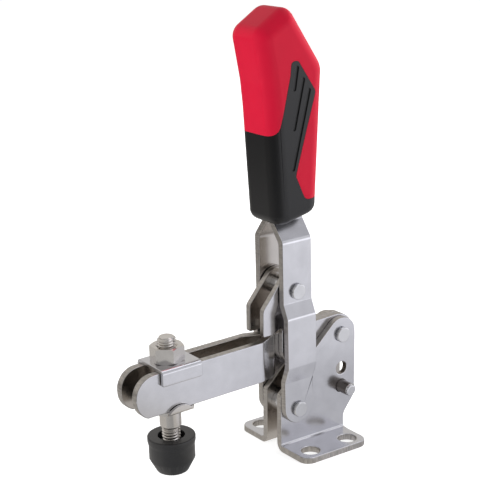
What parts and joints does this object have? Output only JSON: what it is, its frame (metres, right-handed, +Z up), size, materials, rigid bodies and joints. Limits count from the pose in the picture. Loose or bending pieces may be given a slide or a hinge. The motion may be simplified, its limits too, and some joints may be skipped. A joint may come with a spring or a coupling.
{
  "type": "toggle clamp",
  "caption": "Toggle clamp with an upright two-colour handle, an open clamping arm, a rubber-capped screw and a flanged base.",
  "frame": {"origin": "middle of the four mounting holes, on the underside of the base", "axes": "+Z up along the handle of the closed clamp, +X forward along the arm to the clamping screw, +Y to the left"},
  "size_m": [0.119, 0.0496, 0.1979],
  "materials": {
    "stainless_sheet": "stainless sheet, blasted satin faces with bright rounded edges",
    "rivet_steel": "turned stainless steel, satin",
    "fastener_steel": "stainless steel, machined",
    "dark_grip": "soft dark grey plastic, satin",
    "red_grip": "red plastic, satin",
    "black_rubber": "moulded black rubber, dull"
  },
  "bodies": {
    "base": {"base_plate_left": "stainless_sheet", "base_plate_right": "stainless_sheet", "base_spacer": "rivet_steel", "handle_pivot_rivet": "rivet_steel", "arm_pivot_rivet": "rivet_steel", "stop_pin": "rivet_steel"},
    "handle": {"handle_leg_left": "stainless_sheet", "handle_leg_right": "stainless_sheet", "upper_pivot_rivets": "rivet_steel", "grip_core": "dark_grip", "grip_cover": "red_grip"},
    "arm": {"arm_plate_left": "stainless_sheet", "arm_plate_right": "stainless_sheet", "arm_link_rivet": "rivet_steel"},
    "link": {"link_plate_left": "stainless_sheet", "link_plate_right": "stainless_sheet", "link_bush": "rivet_steel"},
    "carriage": {"saddle": "stainless_sheet", "lock_nut": "fastener_steel", "flange_nut": "fastener_steel"},
    "pad": {"pad_cap": "black_rubber"},
    "screw": {"clamp_screw": "fastener_steel"}
  },
  "joints": [
    {"name": "handle_pivot", "type": "hinge", "parent": "base", "child": "handle", "pos_m": [0.0108, 0, 0.0204], "axis": [0, -1, 0], "range_deg": [0, 60]},
    {"name": "arm_pivot", "type": "hinge", "parent": "base", "child": "arm", "pos_m": [-0.0166, 0, 0.0485], "axis": [0, -1, 0], "range_deg": [0, 108.86]},
    {"name": "link_pivot", "type": "hinge", "parent": "arm", "child": "link", "pos_m": [0.0106, 0, 0.0477], "axis": [0, -1, 0], "range_deg": [0, 48.56]},
    {"name": "screw_reach", "type": "slide", "parent": "arm", "child": "carriage", "axis": [0.9997, 0, -0.0227], "range_m": [-0.031, 0.006]},
    {"name": "pad_lift", "type": "slide", "parent": "carriage", "child": "pad", "axis": [0.0227, 0, 0.9997], "range_m": [-0.005, 0.005]},
    {"name": "screw_turn", "type": "hinge", "parent": "pad", "child": "screw", "pos_m": [0.07178, 0, 0.00458], "axis": [0.0227, 0, 0.9997], "range_deg": [-1440, 1440]}
  ],
  "couplings": [
    {"joint": "arm_pivot", "follows": "handle_pivot", "ratio": 1.8143},
    {"joint": "link_pivot", "follows": "handle_pivot", "ratio": 0.8093},
    {"joint": "screw_turn", "follows": "pad_lift", "rad_per_m": 5026.5}
  ]
}
